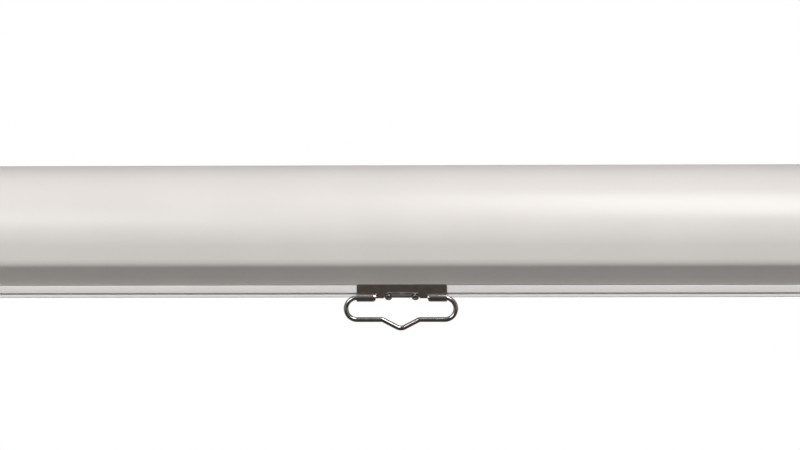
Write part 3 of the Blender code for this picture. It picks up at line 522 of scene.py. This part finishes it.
bracket_grey = finish("bracket_grey", "bracket_steel", sprayed_skin, 0.00001,
                      Colour=(0.60, 0.575, 0.545, 1.0), Roughness=0.36, Die_Lines=0.0)
bracket_thick, bracket_foot, relief_corner, fold_radius = 0.002, 0.014, 0.011, 0.0028
slot_half_width, slot_half_run, slot_reach = 0.003, 0.004, 0.01
foot_corner, bracket_round, hole_in, hole_out = 0.004, 0.0003, 0.003, 0.006
bracket_low, bracket_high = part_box("mount_bracket_right")
bracket_in, bracket_tip = bracket_low.x, bracket_high.x
reach, middle = -bracket_low.y, bracket_in + bracket_thick / 2
crown, back = top - bracket_thick / 2, -bracket_thick / 2
flange_hole = (bracket_in + bracket_thick + bracket_tip) / 2
slot_start = (slot_half_width, -slot_half_run)
slot_turns = [(slot_half_width, slot_half_run), (0.0, slot_half_run, 180.0),
              (-slot_half_width, -slot_half_run), (0.0, -slot_half_run, 180.0)]
for side, end in ENDS:
    shape = bmesh.new()
    corners = [(-reach, crown), (-relief_corner, crown), (back, crown), (back, top - relief_corner),
               (back, bottom + relief_corner), (back, bottom - back), (-bracket_foot, bottom - back),
               (-reach, top - reach / 2)]
    verts = [shape.verts.new((side * middle, y, z)) for y, z in corners]
    shape.faces.new(verts)
    folds = [shape.edges.get((verts[i], verts[i + 1])) for i in (0, 3)]
    for fold in folds:
        pull(shape, bmesh.ops.extrude_edge_only(shape, edges=[fold]), ALONG * side * (bracket_tip - middle))
    bmesh.ops.bevel(shape, geom=verts[6:], offset=foot_corner, offset_type="OFFSET", affect="VERTICES",
                    segments=5, profile=0.5, material=-1)
    softened(shape, fold_radius, segments=6, over=60.0)
    holes = []
    for up, through, y, z in ((UP, ACROSS, 0.0, 0.0), (ACROSS, UP, -reach / 2, top)):
        slot = raised(outline(slot_start, slot_turns, ALONG, up, fineness=15.0), through * -slot_reach,
                      through * 2 * slot_reach)
        move(slot, (side * flange_hole, y, z))
        holes.append(slot)
    holes += [rod(side * (bracket_in - hole_in), side * (bracket_in + hole_out), screw_hole, y, z)
              for y, z in ports]
    shape = cut(shape, *holes, sheet=bracket_thick)
    softened(shape, bracket_round, segments=2, over=50.0)
    add_piece(shape, f"mount_bracket_{end}_pressing", bracket_grey, "case", f"mount_bracket_{end}")


# Cap screws: zinc plated pan heads with a cross recess, turned with a thread that bites into the
# case's screw ports. Two hold each bracket and cap.
tree, given = start_skin("metal_skin", {"Roughness": 0.25, "Stretch": (1.0, 1.0, 1.0),
                                        "Lines": 2500.0, "Mottle": 0.1})
spread = add(tree, "VectorMath", {0: given["Place"], 1: given["Stretch"]}, operation="MULTIPLY")[0]
noise = add(tree, "TexNoise", {"Vector": spread, "Scale": given["Lines"], "Detail": 3.0})[0]
scratches = ramp(tree, noise, 0.3, 0.7)
cloud = grain(tree, given, 260.0, detail=4.0)
patches = maths(tree, "MULTIPLY", cloud, given["Mottle"])
drawn = maths(tree, "MULTIPLY", given["Roughness"], ramp(tree, scratches, 0.0, 1.0, 0.93, 1.18))
rough = maths(tree, "ADD", drawn, patches)
metal_skin = end_skin(tree, given["Colour"], rough, scratches, cloud, low=0.90, high=1.05)
zinc = finish("zinc_plate", "zinc_steel", metal_skin, 0.000004, Colour=(0.63, 0.63, 0.61, 1.0),
              Roughness=0.28, Mottle=0.14, Metallic=1.0)
head_radius, head_height, dome_inset, dome_turn = 0.0031, 0.0022, 0.0012, -75.0
screw_radius, screw_length, screw_point, thread_end = 0.0013, 0.0146, 0.001, -0.006
thread_pitch, thread_depth = 0.0009, 0.00028
recess_half, blade_half, recess_depth, recess_over = 0.0017, 0.00032, 0.0013, 0.001
under = bracket_in + bracket_thick + gap
head_side = head_height * 0.35
threads, here = [], screw_point - screw_length
while here < thread_end:
    threads += [(here, screw_radius), (here + thread_pitch / 2, screw_radius - thread_depth)]
    here += thread_pitch
screw_line = ([(-screw_length, screw_radius * 0.5)] + threads
              + [(here, screw_radius), (0.0, screw_radius), (0.0, head_radius), (head_side, head_radius),
                 (head_side, head_radius - dome_inset, dome_turn), (head_height, head_radius * 0.35),
                 (head_height, 0.0)])
for side, end in ENDS:
    for z, level in ((port_z, "upper"), (-port_z, "lower")):
        blades = [box((head_height - recess_depth, -w, -d), (head_height + recess_over, w, d))
                  for w, d in ((recess_half, blade_half), (blade_half, recess_half))]
        screw = cut(turned((-screw_length, 0.0), screw_line, steps=32), *blades)
        bmesh.ops.transform(screw, verts=screw.verts,
                            matrix=Matrix.Translation((side * under, -port_inset, z))
                            @ Matrix.Diagonal((side, 1.0, 1.0, 1.0)))
        add_piece(screw, f"cap_screw_{end}_{level}_turning", zinc, "case", f"cap_screw_{end}_{level}")


# Idle bush: a plain bearing moulded in natural white plastic, pressed into the right cap's boss. The
# roller's pin turns in it.
def ring(x0, x1, inner, outer, width=0.0002, steps=64):
    """A tube about the roller's axis with its rims rounded."""
    shape = turned((x0, inner), [(x0, outer), (x1, outer), (x1, inner), (x0, inner)], *axle, steps)
    return softened(shape, width, over=60.0)


moulded_white = finish("moulded_white", "bush_plastic", moulded_skin, 0.00001,
                       Colour=(0.76, 0.75, 0.70, 1.0), Roughness=0.4, Pebble=1400.0)
pin_bore = pin_radius + gap
bush = ring(boss_face, boss_face + bush_length, pin_bore, pin_bore + bush_wall, width=0.0003, steps=48)
add_piece(bush, "idle_bush_moulding", moulded_white, "case", "idle_bush")


# Roller: a steel tube with a black moulded plug in each end. The left plug turns on the spring's shaft
# and has two studs for the pawls, the right one holds a steel pin.
rolled_steel = finish("rolled_steel", "tube_steel", metal_skin, 0.00001, Colour=(0.52, 0.52, 0.51, 1.0),
                      Roughness=0.34, Stretch=(0.02, 1.0, 1.0), Lines=1800.0, Mottle=0.2, Metallic=1.0)
moulded_black = finish("moulded_black", "plug_plastic", moulded_skin, 0.00002,
                       Colour=(0.035, 0.035, 0.038, 1.0), Roughness=0.45)
tube_half, tube_radius, tube_wall = roll_high.x, (roll_high.z - roll_low.z) / 2, 0.0009
plug_length, flange_thick, shaft_radius = 0.014, 0.0025, 0.0035
stud_radius, stud_offset, waist_depth, land, step = 0.0015, 0.014, 0.001, 0.003, 0.0005
shaft_bore = shaft_radius + gap
flange_in, plug_end = tube_half + gap, tube_half - plug_length
flange_out = flange_in + flange_thick
plug_radius = tube_radius - tube_wall - gap


def end_plug(side, bore):
    """A plug with a flange and a waist between two fitted lands."""
    waist = plug_radius - waist_depth
    line = [(flange_out, tube_radius), (flange_in, tube_radius), (flange_in, plug_radius),
            (flange_in - land, plug_radius), (flange_in - land - step, waist),
            (plug_end + land + 2 * step, waist), (plug_end + land + step, plug_radius),
            (plug_end, plug_radius), (plug_end, bore), (flange_out, bore)]
    shape = turned((side * flange_out, bore), [(side * x, r) for x, r in line], *axle)
    return softened(shape, width=0.0003, over=60.0)


add_piece(ring(-tube_half, tube_half, tube_radius - tube_wall, tube_radius), "roller_tube_drawn",
          rolled_steel, "roller", "roller_tube")
stud_reach = -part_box("roller_head_plug")[0].x
studs = [softened(rod(-stud_reach, -flange_in, stud_radius, axle_y, axle_z + up), width=0.0002)
         for up in (stud_offset, -stud_offset)]
add_piece(joined(end_plug(-1, shaft_bore), *studs), "roller_head_plug_moulding", moulded_black,
          "roller", "roller_head_plug")
add_piece(end_plug(1, pin_bore), "idle_plug_moulding", moulded_black, "roller", "idle_plug")
pin_low, pin_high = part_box("idle_pin")
pin = softened(rod(pin_low.x, pin_high.x, pin_radius, *axle, steps=48), width=0.0004)
add_piece(pin, "idle_pin_turning", zinc, "roller", "idle_pin")


# Spring and ratchet: the fixed shaft's flat tang sits in the left cap. The torsion spring runs from a
# collar on the shaft to a plug in the tube. A notched hub on the shaft catches the roller's two pawls.
def copied(node):
    """A CAD node's mesh with its faces made whole again, ready to round."""
    mesh = frame["nodes"][node].data.copy()
    for layer in [a for a in mesh.attributes if a.name == "custom_normal"]:
        mesh.attributes.remove(layer)
    shape = bmesh.new()
    shape.from_mesh(mesh)
    bpy.data.meshes.remove(mesh)
    return clean(shape, 2e-6)


oiled_steel = finish("oiled_steel", "spring_steel", metal_skin, 0.000006,
                     Colour=(0.21, 0.20, 0.19, 1.0), Roughness=0.3, Mottle=0.2, Metallic=1.0)
shaft_low, shaft_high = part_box("spring_shaft")
shaft = softened(rod(-boss_face, shaft_high.x, shaft_radius, *axle, steps=32), width=0.0002)
tang = box((shaft_low.x, axle_y - tang_width / 2, axle_z - tang_thick / 2),
           (tang_root - boss_face, axle_y + tang_width / 2, axle_z + tang_thick / 2))
add_piece(joined(shaft, softened(tang, width=0.0002)), "spring_shaft_turning", zinc, "case",
          "spring_shaft")
for node, body in (("ratchet_hub", "case"), ("pawl_upper", "pawl_upper"), ("pawl_lower", "pawl_lower")):
    add_piece(softened(copied(node), width=0.0002, over=40.0), f"{node}_turning", zinc, body, node)
collar_low, collar_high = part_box("spring_collar")
collar_radius = (collar_high.z - collar_low.z) / 2
add_piece(ring(collar_low.x, collar_high.x, shaft_bore, collar_radius, width=0.0005),
          "spring_collar_moulding", moulded_black, "case", "spring_collar")
anchor_low, anchor_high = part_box("spring_anchor_plug")
add_piece(ring(anchor_low.x, anchor_high.x, shaft_bore, plug_radius, width=0.0006),
          "spring_anchor_plug_moulding", moulded_black, "roller", "spring_anchor_plug")
spring_low, spring_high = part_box("torsion_spring")
coil_radius, spring_wire, spring_turns, coil_steps = 0.007, 0.0012, 18, 28
coil = bmesh.new()
coil_start = Matrix.Translation((spring_low.x + spring_wire, axle_y + coil_radius, axle_z))
coil_end = bmesh.ops.create_circle(coil, segments=12, radius=spring_wire, matrix=coil_start)["verts"]
coil_step = (spring_high.x - spring_low.x - 2 * spring_wire) / (spring_turns * coil_steps)
bmesh.ops.spin(coil, geom=coil_end + coil.edges[:], cent=(0.0, axle_y, axle_z), axis=ALONG,
               angle=math.tau * spring_turns, dvec=ALONG * coil_step, steps=spring_turns * coil_steps)
bmesh.ops.holes_fill(coil, edges=[e for e in coil.edges if e.is_boundary], sides=0)
add_piece(coil, "torsion_spring_wire", oiled_steel, "case", "torsion_spring")


# Screen: one cloth, matte white with a black border in front and black behind. Most of it is wound on
# the tube; the hem end runs down through the slot into the slat, and the rest follows as it is pulled.
tree, given = start_skin("woven_skin", {"Border": (0.02, 0.02, 0.02, 1.0), "Half Width": 0.635,
                                        "Hem": 0.02, "Picture": 1.27, "Pitch": 0.00055})
parts = add(tree, "SeparateXYZ", {0: given["Place"]})
side_edge = maths(tree, "SUBTRACT", given["Half Width"], maths(tree, "ABSOLUTE", parts["X"]))
low_edge = maths(tree, "SUBTRACT", parts["Y"], given["Hem"])
high_edge = maths(tree, "SUBTRACT", given["Picture"], low_edge)
inside_edge = maths(tree, "MINIMUM", side_edge, maths(tree, "MINIMUM", low_edge, high_edge))
picture = ramp(tree, inside_edge, -0.0002, 0.0002)
yarns = [maths(tree, "SINE", maths(tree, "DIVIDE", maths(tree, "MULTIPLY", parts[axis], math.tau),
                                   given["Pitch"])) for axis in ("X", "Y")]
weave = maths(tree, "MULTIPLY", *yarns)
slubs = grain(tree, given, 180.0, stretch=(1.0, 12.0, 1.0), detail=3.0)
painted = add(tree, "Mix", {"Factor": picture, "A": given["Border"], "B": given["Colour"]},
              data_type="RGBA")[2]
rough = ramp(tree, weave, -1.0, 1.0, 0.82, 0.94)
lumps = maths(tree, "ADD", weave, maths(tree, "MULTIPLY", slubs, 0.4))
woven_skin = end_skin(tree, painted, rough, lumps, slubs, low=0.97, high=1.02)
black_cloth = (0.018, 0.018, 0.019, 1.0)
cloth_front = finish("cloth_front", "screen_fabric", woven_skin, 0.00002, "UV", Border=black_cloth,
                     Colour=(0.80, 0.80, 0.79, 1.0), Specular_IOR_Level=0.2, Sheen_Weight=0.08)
cloth_back = finish("cloth_back", "screen_fabric", woven_skin, 0.00003, "UV", Border=black_cloth,
                    Colour=black_cloth, Specular_IOR_Level=0.25)
half_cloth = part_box("screen_roll")[1].x
drop_low, drop_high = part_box("screen_drop")
cloth_length, cloth_thick, cloth_share = 1.430, 0.00038, 0.9
drop_start, drop_end = drop_high.z, drop_low.z
hanging = drop_start - drop_end
pull_down = next(j for j in frame["joints"] if j["name"] == "slat_drop")["range_m"][1]


def cloth(columns, rows, name, place, length_at, body, node):
    """A sheet of the screen: place gives a point and length_at its distance from the hem's fold."""
    shape = bmesh.new()
    bmesh.ops.create_grid(shape, x_segments=columns, y_segments=rows, size=0.5, calc_uvs=True)
    metres = shape.loops.layers.uv.verify()
    for v in shape.verts:
        v.co = Vector((v.co.x + 0.5, v.co.y + 0.5, 0.0))
    for loop in [loop for face in shape.faces for loop in face.loops]:
        u, t = loop.vert.co.xy
        loop[metres].uv = ((2.0 * u - 1.0) * half_cloth, length_at(t))
    for v in shape.verts:
        v.co = place((2.0 * v.co.x - 1.0) * half_cloth, v.co.y)
    made = as_object(shape, name)
    for material, slot in (cloth_front, cloth_back):
        made.data.materials.append(material)
    made.data.shade_smooth()
    thicken = made.modifiers.new("cloth", "SOLIDIFY")
    thicken.thickness, thicken.offset = cloth_thick * cloth_share, 0.0
    thicken.material_offset, thicken.material_offset_rim = 1, 1
    if body:
        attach(made, body)
    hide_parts(node)
    return made


wound = cloth_length - hanging
roll_inner = tube_radius + gap + cloth_thick / 2
roll_outer = axle_y - screen_y
turns = wound / (math.pi * (roll_inner + roll_outer))


def on_roll(x, t):
    """A point of the wound cloth: t runs from the outer layer, at the front, to the tube."""
    angle = math.tau * turns * t
    radius = roll_outer + (roll_inner - roll_outer) * t
    return Vector((x, axle_y - radius * math.cos(angle), axle_z + radius * math.sin(angle)))


roll = cloth(10, 520, "screen_wound", on_roll, lambda t: hanging + wound * t, "roller", "screen_roll")


def rest_share(t):
    """Where a point at share t of the pulled-down cloth lies in the short stretch at rest."""
    low, high = 0.0, 1.0
    for _ in range(40):
        middle = (low + high) / 2
        moved = middle * hanging + middle * middle * (3.0 - 2.0 * middle) * pull_down
        low, high = (middle, high) if moved < t * (hanging + pull_down) else (low, middle)
    return (low + high) / 2


def hung(x, t):
    """A point of the hanging cloth: t runs from the hem up to the roller."""
    return Vector((x, screen_y, drop_start - rest_share(1.0 - t) * hanging))


drop = cloth(48, 96, "screen_hanging", hung, lambda t: t * (hanging + pull_down), None, "screen_drop")
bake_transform(drop, "case", "slat", start=(0.0, screen_y, drop_start), end=(0.0, screen_y, drop_end))


# Slat: an aluminium bar sprayed lighter than the case. A groove parts its front into two slightly
# round bands, a neck on top grips the hem, and the handle's pad and rivets sit in a notch below.
slat_round, neck_round, bar_height = 0.0008, 0.0002, 0.0082
groove_drop, groove_height, groove_depth = 0.0050, 0.0013, 0.004
neck_width, neck_rise, channel_radius, channel_roof, slit = 0.007, 0.0075, 0.0024, 0.0012, 0.0008
band_bulge = math.radians(11.0)
slat_front, slat_back = slat_low.y, slat_high.y
slat_bottom, slat_top = slat_low.z, slat_low.z + bar_height
neck_top = bottom + neck_rise
channel = (screen_y, neck_top - channel_roof - channel_radius)
slit_angle = math.degrees(math.asin(slit / channel_radius))
neck_front, neck_back = screen_y - neck_width / 2, screen_y + neck_width / 2


def band(high, low):
    """Runs down the slat's front from high to low in one slightly round band."""
    radius = (high - low) / 2 / math.sin(band_bulge)
    edge = slat_front + radius * (1.0 - math.cos(band_bulge))
    return [(edge, high), (slat_front + radius, (high + low) / 2, 2.0 * math.degrees(band_bulge))]


groove_floor = slat_front + groove_depth
groove_top, groove_bottom = slat_top - groove_drop, slat_top - groove_drop - groove_height
slat_outside = [*band(slat_top, groove_top), (groove_floor, groove_top), (groove_floor, groove_bottom),
                *band(groove_bottom, slat_bottom), (slat_back, slat_bottom), (slat_back, slat_top),
                (neck_back, slat_top), (neck_back, neck_top)]
channel_reach = channel_radius * math.cos(math.radians(slit_angle))
channel_moves = [(screen_y + slit, neck_top), (screen_y + slit, channel[1] + channel_reach),
                 (*channel, 2.0 * slit_angle - 360.0), (screen_y - slit, neck_top)]


def slat_bar(x0, x1, moves):
    """The slat's section drawn out along X, with its long outer edges rounded."""
    long = 0.9 * abs(x1 - x0)
    shape = raised(outline((neck_front, slat_top), slat_outside + moves + [(neck_front, neck_top)],
                           fineness=6.0), ALONG * x0, ALONG * (x1 - x0))
    softened(shape, slat_round, lambda e: e.calc_length() > long and e.verts[0].co.z < slat_top + hair
             and not neck_front - hair < e.verts[0].co.y < neck_back + hair
             and not groove_bottom - hair < e.verts[0].co.z < groove_top + hair, segments=4, over=60.0)
    return softened(shape, neck_round, lambda e: e.calc_length() > long, segments=2, over=50.0)


handle_sheet, pad_drop, pad_proud, pad_tilt = 0.0008, 0.0050, 0.0008, math.radians(42.0)
rivet_apart, rivet_along, rivet_length, rivet_radius = 0.0181, 0.0037, 0.0045, 0.0011
plate_back = slat_front - gap
ledge = Vector((plate_back - handle_sheet - pad_proud, slat_top - pad_drop))
pad_down = Vector((math.sin(pad_tilt), -math.cos(pad_tilt)))
pad_out = Vector((-math.cos(pad_tilt), -math.sin(pad_tilt)))
pad_half, pad_corner = 0.0118, 0.0029


def at_rivet(side, shape):
    """Turn a shape made along X to leave the pad's face, and set it at a rivet's centre."""
    y, z = ledge + pad_down * rivet_along
    turn = ALONG.rotation_difference(Vector((0.0, *pad_out))).to_matrix().to_4x4()
    bmesh.ops.transform(shape, matrix=Matrix.Translation((side * rivet_apart / 2, y, z)) @ turn,
                        verts=shape.verts)
    return shape


def rivet_holes(depth):
    """Two rods that cut the rivets' holes, to a depth behind the pad's face."""
    return [at_rivet(side, rod(-depth, rivet_length, rivet_radius + gap)) for side in (-1, 1)]


slat_half = slat_high.x
seat, far = ledge - pad_out * (handle_sheet + gap), 0.03
notch = [seat + pad_down * a + pad_out * b for a, b in ((-far, 0), (far, 0), (far, far), (-far, far))]
notch_half = pad_half + gap
bar = cut(slat_bar(-slat_half, slat_half, channel_moves),
          raised(outline(notch[0], notch[1:]), -ALONG * notch_half, ALONG * 2.0 * notch_half),
          *rivet_holes(rivet_length + gap))
slat_grey = finish("slat_grey", "slat_paint", sprayed_skin, 0.000004,
                   Colour=(0.635, 0.625, 0.61, 1.0), Roughness=0.33)
add_piece(bar, "slat_bar", slat_grey, "slat", "slat")


# Slat caps: moulded plugs in the case's grey. A peg in the channel holds each, and keeps the hem rod
# in place.
cap_plate, cap_edge, peg_radius, peg_length, peg_lead = 0.004, 0.0005, 0.002, 0.008, 0.0006
peg_end, cap_face = slat_half - peg_length, slat_half + gap + cap_plate
for side, end in ENDS:
    inner = side * (slat_half + gap)
    root = inner + side * cap_plate / 2
    plate = slat_bar(inner, inner + side * cap_plate, [])
    softened(plate, cap_edge, lambda e: min(abs(v.co.x) for v in e.verts) > cap_face - hair, over=60.0)
    peg_line = [(side * peg_end, peg_radius * 0.7), (side * (peg_end + peg_lead), peg_radius),
                (root, peg_radius), (root, 0.0)]
    peg = turned((side * peg_end, 0.0), peg_line, *channel, steps=24)
    add_piece(joined(plate, peg), f"slat_cap_{end}_moulding", moulded_grey, "slat", f"slat_cap_{end}")


# Hem rod: a white plastic rod in the screen's hem. The slat's channel holds it, with a slit too
# narrow to let it go.
hem_end, hem_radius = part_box("hem_rod")[1].x, 0.0017
hem_rod = softened(rod(-hem_end, hem_end, hem_radius, *channel), width=0.0003)
add_piece(hem_rod, "hem_rod_drawn", moulded_white, "slat", "hem_rod")


# Handle bracket: pressed from 0.8 mm sheet and nickel plated. Its two lugs are curled round the wire,
# and a pad in its middle is pushed forward, bent back under the slat and riveted to it.
nickel = finish("nickel_plate", "nickel", metal_skin, 0.0000006, Colour=(0.60, 0.57, 0.54, 1.0),
                Roughness=0.11, Stretch=(0.15, 1.0, 1.0), Mottle=0.018, Metallic=1.0)
handle_half, handle_corner, notch_corner, lug_curl, slant = 0.0303, 0.001, 0.0016, 298.0, 0.25
lug_length, lug_drop, wire_radius, pad_joint = 0.0129, 0.0083, 0.00165, 0.0006
lug_end, lug_round, sheet_round, pad_round = 0.002, 0.00036, 0.00022, 0.00025
plate_over, plate_under, pad_under, flat = 0.0006, 0.0006, 0.0003, 0.0001
lug_z, lug_in = slat_top - lug_drop, handle_half - lug_length
lug_bore, crimp, crimp_length = wire_radius + gap, 0.0004, 0.0019
lug_y = plate_back - handle_sheet - lug_bore
lug_axis = Vector((0.0, lug_y, lug_z))
plate_y = plate_back - handle_sheet / 2
curl_start = plate_y - flat
plate_top, plate_foot = slat_top + plate_over, slat_bottom - plate_under
top_x, top_z = handle_half - handle_corner, plate_top - handle_corner
notch_x, notch_z = notch_half - notch_corner, ledge.y - pad_joint - notch_corner
right_half = [(notch_half, plate_foot), (lug_in, plate_foot), (lug_in, lug_z), (handle_half, lug_z),
              (handle_half, top_z)]
plate_moves = [(notch_x, notch_z, -90.0), *right_half, (top_x, top_z, 90.0), (-top_x, plate_top),
               (-top_x, top_z, 90.0), *[(-x, z) for x, z in reversed(right_half[:-1])],
               (-notch_half, notch_z), (-notch_x, notch_z, -90.0)]
shape = outline((notch_x, ledge.y - pad_joint), plate_moves, ALONG, UP, fineness=18.0)
bmesh.ops.contextual_create(shape, geom=shape.edges)
move(shape, (0.0, plate_y, 0.0))
for side in (-1, 1):
    foot = [e for e in shape.edges if all(abs(v.co.z - lug_z) < hair and v.co.x * side > 0 for v in e.verts)
            and e.calc_length() > 0.9 * lug_length]
    bmesh.ops.spin(shape, geom=foot + [v for e in foot for v in e.verts], cent=lug_axis, axis=ALONG,
                   angle=-math.radians(lug_curl), steps=36)
for side in (-1, 1):
    curled = [f for f in shape.faces if f.calc_center_median().x * side > 0
              and any(v.co.y < curl_start for v in f.verts)
              and all(v.co.y < plate_y + hair for v in f.verts)]
    grown = list({*curled, *(e for f in curled for e in f.edges), *(v for f in curled for v in f.verts)})
    bmesh.ops.bisect_plane(shape, geom=grown, dist=1e-7, plane_co=ALONG * side * (lug_in + crimp_length),
                           plane_no=ALONG)
for v in shape.verts:
    if abs(abs(v.co.x) - lug_in) < hair and v.co.y < curl_start:
        to_axis = lug_axis - v.co
        to_axis.x = 0.0
        v.co += to_axis.normalized() * crimp * min(1.0, (plate_y - v.co.y) / lug_bore)
        v.co.x -= math.copysign(slant, v.co.x) * (v.co.z - lug_z)
shape = cut(shape, sheet=handle_sheet)
softened(shape, lug_round, lambda e: all(abs(abs(v.co.x) - lug_in) < lug_end
                                         and v.co.y < plate_y - handle_sheet for v in e.verts),
         segments=4, over=55.0)
softened(shape, sheet_round, over=55.0)
pad_length, pad_side = (ledge.y - slat_bottom + pad_under) / math.cos(pad_tilt), pad_half - pad_corner
pad_moves = [(pad_half, -pad_corner), (pad_side, -pad_corner, 90.0), (-pad_side, 0.0),
             (-pad_side, -pad_corner, 90.0), (-pad_half, -pad_length)]
pad = raised(outline((pad_half, -pad_length), pad_moves, ALONG, UP, 12.0), Vector(), ACROSS * handle_sheet)
lie = Matrix(((1, 0, 0, 0), (0, -pad_out.x, -pad_down.x, ledge.x), (0, -pad_out.y, -pad_down.y, ledge.y),
              (0, 0, 0, 1)))
bmesh.ops.transform(pad, matrix=lie, verts=pad.verts)
pad = softened(cut(pad, *rivet_holes(rivet_length)), pad_round, over=50.0)
add_piece(joined(shape, pad), "handle_pressing", nickel, "slat", "handle_bracket")


# Handle rivets: hollow nickel plated eyelets. The rolled head holds the pad, and the tube is set in
# the slat.
eyelet_radius, eyelet_height, eyelet_mouth, eyelet_bore = 0.0025, 0.0008, 0.0013, 0.0007
lip, mouth_depth = eyelet_height / 2, 0.0004
for side, end in ENDS:
    eyelet = turned((-rivet_length, eyelet_bore),
                    [(-rivet_length, rivet_radius), (gap, rivet_radius), (gap, eyelet_radius - lip),
                     (gap + lip, eyelet_radius - lip, -180.0), (gap + eyelet_height, eyelet_mouth + lip),
                     (gap + lip, eyelet_mouth + lip, -90.0), (gap - mouth_depth, eyelet_bore),
                     (-rivet_length, eyelet_bore)], steps=40)
    add_piece(at_rivet(side, eyelet), f"handle_rivet_{end}_eyelet", nickel, "slat", f"handle_rivet_{end}")


# Bail: 3.3 mm steel wire, bent to a flat loop with a V in the middle for a hook or a finger, and nickel
# plated. Its ends turn in the bracket's lugs.
bail_half, bail_height, v_half, v_depth = 0.03685, 0.0147, 0.0123, 0.0064
bail_bend, v_bend, bail_end, bail_shift = 0.004, 0.0055, 0.001, -0.0006
foot_z, loop = lug_z - bail_height, bail_height / 2
loop_x, loop_z = bail_half - loop, lug_z - loop
slope = math.atan2(v_depth, v_half)
bend_run = bail_bend * math.tan(slope / 2)
v_run = v_bend * math.tan(slope)
knee_x, knee_z = v_half + bend_run, foot_z - bail_bend
v_centre = (0.0, foot_z - v_depth + v_bend / math.cos(slope))
v_start = (-v_run * math.cos(slope), foot_z - v_depth + v_run * math.sin(slope))
v_finish = (v_half - bend_run * math.cos(slope), foot_z - bend_run * math.sin(slope))
degrees = math.degrees(slope)
wire_start = (-lug_in - bail_end, lug_z)
wire_moves = [(-loop_x, lug_z), (-loop_x, loop_z, 180.0), (-knee_x, foot_z),
              (-knee_x, knee_z, -degrees), v_start, (*v_centre, 2.0 * degrees), v_finish,
              (knee_x, knee_z, -degrees), (loop_x, foot_z), (loop_x, loop_z, 180.0),
              (lug_in + bail_end, lug_z)]
wire = bmesh.new()
bmesh.ops.create_circle(wire, segments=24, radius=wire_radius,
                        matrix=Matrix.Translation((wire_start[0], lug_y, lug_z)) @ face_along)
draw(wire, wire.verts[:] + wire.edges[:], wire_start, wire_moves, ALONG, UP, 6.0)
merge(wire)
move(wire, ALONG * bail_shift)
bmesh.ops.holes_fill(wire, edges=[e for e in wire.edges if e.is_boundary], sides=0)
softened(wire, width=0.0003, over=60.0)
add_piece(wire, "bail_wire", nickel, "bail", "bail_handle")
